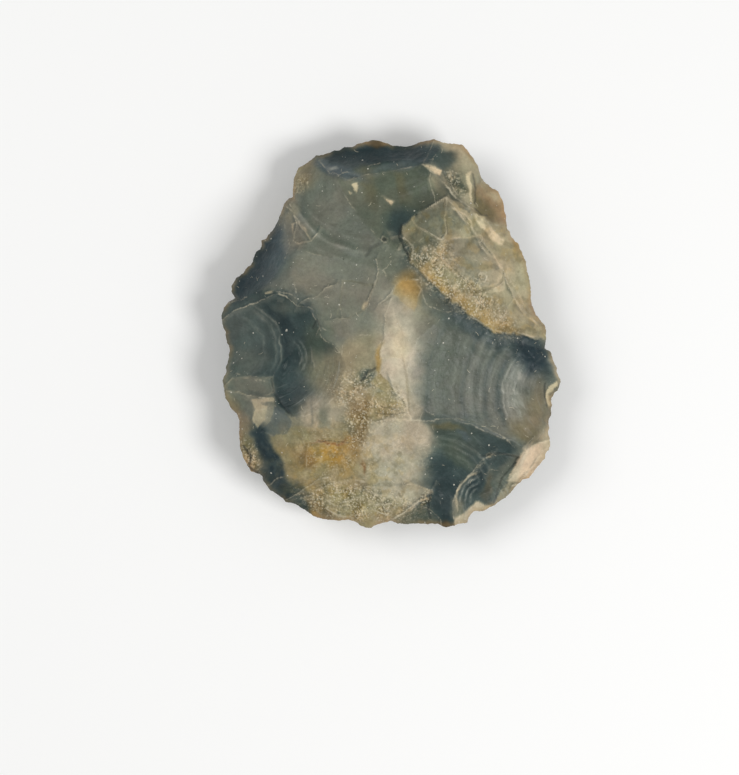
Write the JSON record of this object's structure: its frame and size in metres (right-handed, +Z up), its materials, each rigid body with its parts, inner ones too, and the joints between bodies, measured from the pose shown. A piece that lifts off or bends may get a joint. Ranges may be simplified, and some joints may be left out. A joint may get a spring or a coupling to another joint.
{
  "type": "flint hand axe",
  "caption": "Egg-shaped hand axe of mottled grey flint, knapped on both faces to a sharp sinuous edge all round.",
  "frame": {"origin": "on the ground under the middle of the outline", "axes": "+Y towards the narrow end, +X across, +Z up through the face with the larger scars"},
  "size_m": [0.0662, 0.0758, 0.024],
  "materials": {
    "flint": "smooth satin flint, dark blue-grey in the edge scars, mid grey above, tan and ochre in the rough patches"
  },
  "bodies": {
    "root": {"hand_axe": "flint"}
  },
  "joints": []
}
